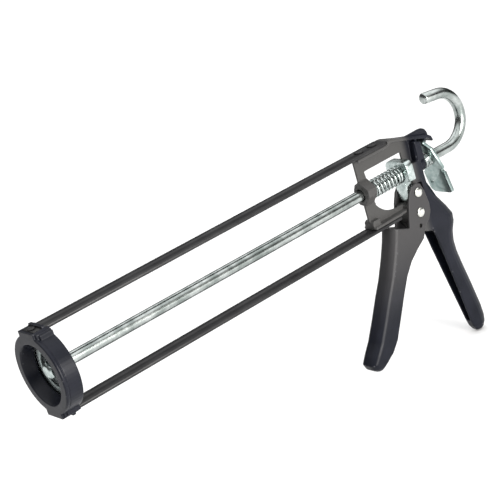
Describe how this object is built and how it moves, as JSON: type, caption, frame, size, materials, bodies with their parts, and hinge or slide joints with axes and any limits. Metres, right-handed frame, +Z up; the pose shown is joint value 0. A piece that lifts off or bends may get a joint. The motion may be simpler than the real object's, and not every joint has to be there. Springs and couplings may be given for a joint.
{
  "type": "caulking gun",
  "caption": "Skeleton caulking gun: flat rails from a nose ring to a cast body, push rod with hook and plunger, sprung trigger, drive plate and catch plate.",
  "frame": {"origin": "bottom centre of the whole gun's box: under the handle's tip, halfway from the nose ring to the back of the hook", "axes": "+X back along the push rod from the nose ring to the hook, +Y across the gun, +Z up, with the handles hanging down"},
  "size_m": [0.3765, 0.052, 0.1821],
  "materials": {
    "black_enamel": "satin black enamel on die-cast metal",
    "rail_black": "satin black paint on steel strip",
    "zinc_plate": "bright zinc plate with a faint blue-green cast",
    "spring_wire": "bright zinc-plated spring wire",
    "rivet_steel": "bright formed rivet heads"
  },
  "bodies": {
    "frame": {"body_casting": "black_enamel", "nose_ring": "black_enamel", "upper_rail": "rail_black", "lower_rail": "rail_black", "upper_nose_rivet": "rail_black", "lower_nose_rivet": "rail_black", "upper_rail_rivet_front": "rail_black", "upper_rail_rivet_rear": "rail_black", "lower_rail_rivet_front": "rail_black", "lower_rail_rivet_rear": "rail_black", "trigger_pivot_pin": "rivet_steel", "main_spring": "spring_wire", "catch_spring": "spring_wire"},
    "rod": {"push_rod": "zinc_plate", "plunger_disc": "zinc_plate", "plunger_washer": "zinc_plate", "plunger_nut": "zinc_plate"},
    "drive": {"drive_plate": "zinc_plate"},
    "trigger": {"trigger": "black_enamel", "push_pin": "rivet_steel"},
    "catch": {"catch_plate": "zinc_plate"}
  },
  "joints": [
    {"name": "rod_slide", "type": "slide", "parent": "frame", "child": "rod", "axis": [1, 0, 0], "range_m": [0, 0.24]},
    {"name": "trigger_pivot", "type": "hinge", "parent": "frame", "child": "trigger", "pos_m": [0.11845, 0, 0.108], "axis": [0, -1, 0], "range_deg": [0, 25], "stiffness_Nm_per_rad": 0.6, "springref_deg": -20.05},
    {"name": "drive_slide", "type": "slide", "parent": "frame", "child": "drive", "axis": [-1, 0, 0], "range_m": [0, 0.0065], "deforming": ["main_spring"]},
    {"name": "catch_pivot", "type": "hinge", "parent": "frame", "child": "catch", "pos_m": [0.13955, 0, 0.1521], "axis": [0, 1, 0], "range_deg": [0, 8], "stiffness_Nm_per_rad": 0.5, "springref_deg": -17.19, "deforming": ["catch_spring"]}
  ],
  "couplings": [
    {"joint": "drive_slide", "follows": "trigger_pivot", "m_per_rad": 0.014}
  ]
}
